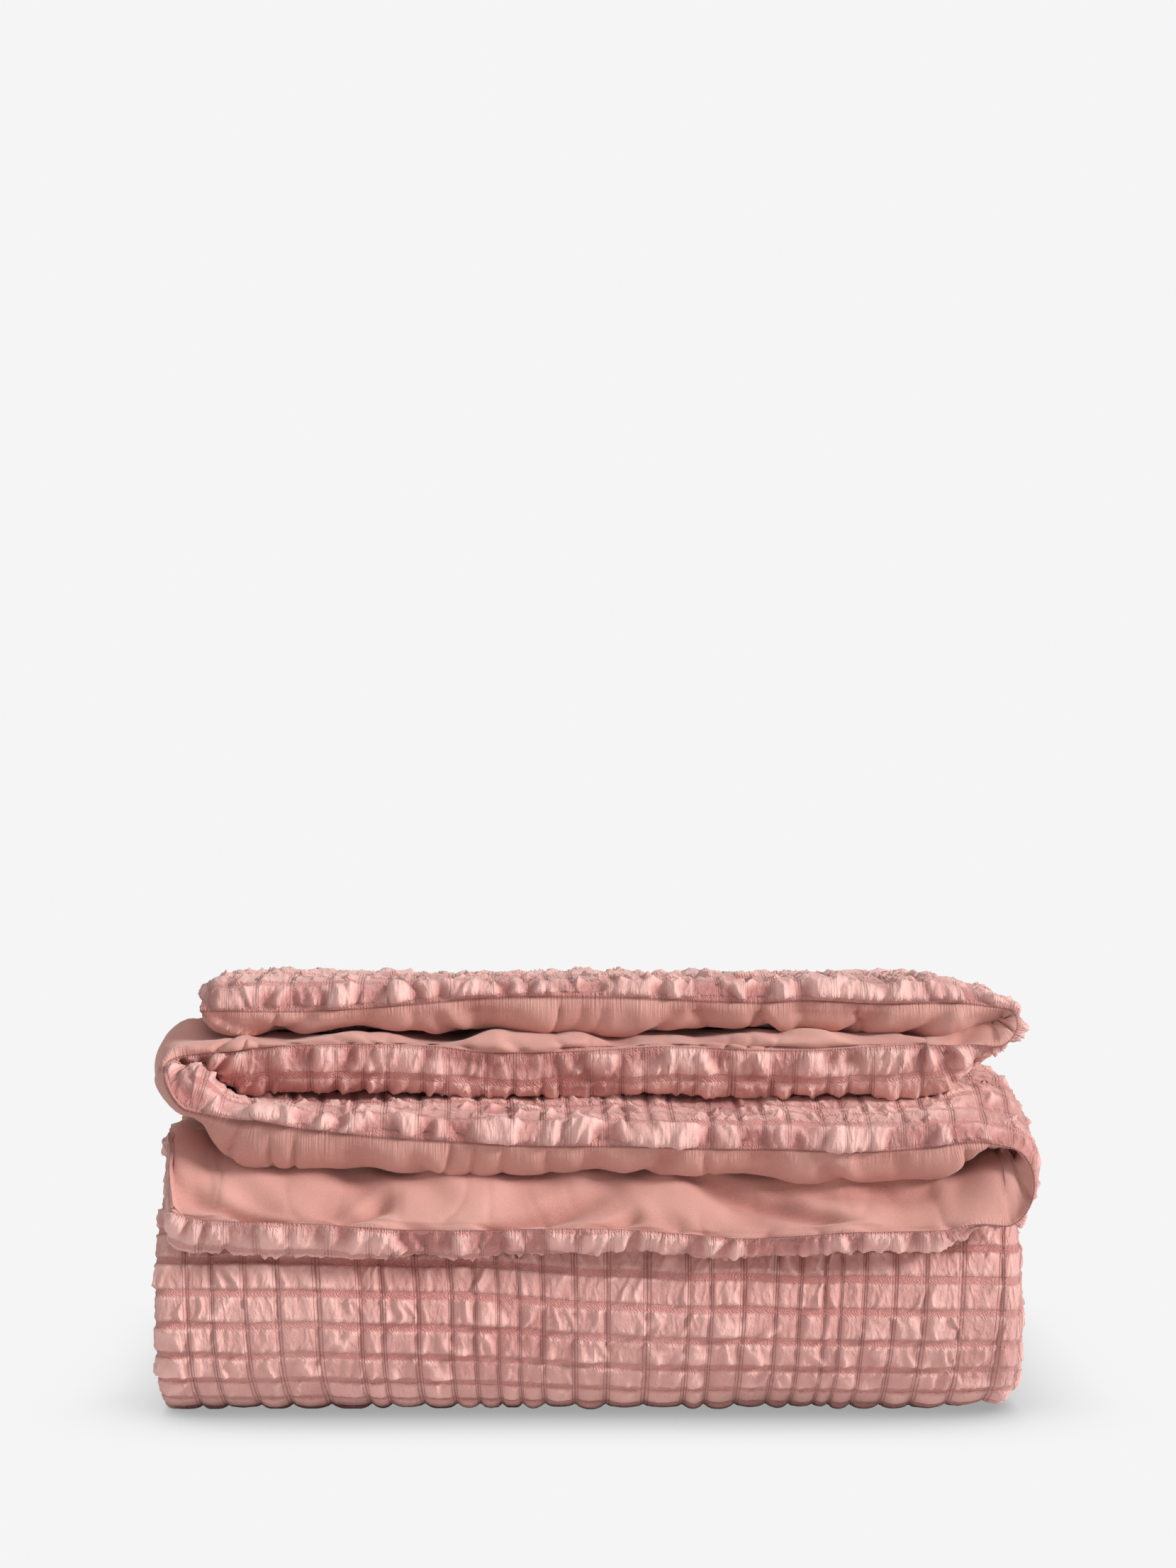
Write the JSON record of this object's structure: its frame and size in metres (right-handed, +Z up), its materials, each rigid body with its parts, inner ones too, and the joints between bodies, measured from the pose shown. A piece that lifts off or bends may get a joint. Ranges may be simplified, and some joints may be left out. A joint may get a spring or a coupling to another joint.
{
  "type": "folded crinkle bedspread",
  "caption": "Padded bedspread with a crinkle face and a plain back, folded back and forth across its width and along its length into a square pile that lies flat.",
  "frame": {"origin": "middle of the box of the folded pile, on the surface that it lies on", "axes": "+X to the right, seen from the front hem; +Y from the front hem to the back; +Z up"},
  "size_m": [0.56, 0.5832, 0.2735],
  "materials": {
    "crinkle_cloth": "matt washed cotton blend, woven in small puffed squares between tight bands",
    "plain_cloth": "matt brushed plain weave"
  },
  "bodies": {
    "root": {"crinkle_face": "crinkle_cloth", "plain_back": "plain_cloth"}
  },
  "joints": []
}
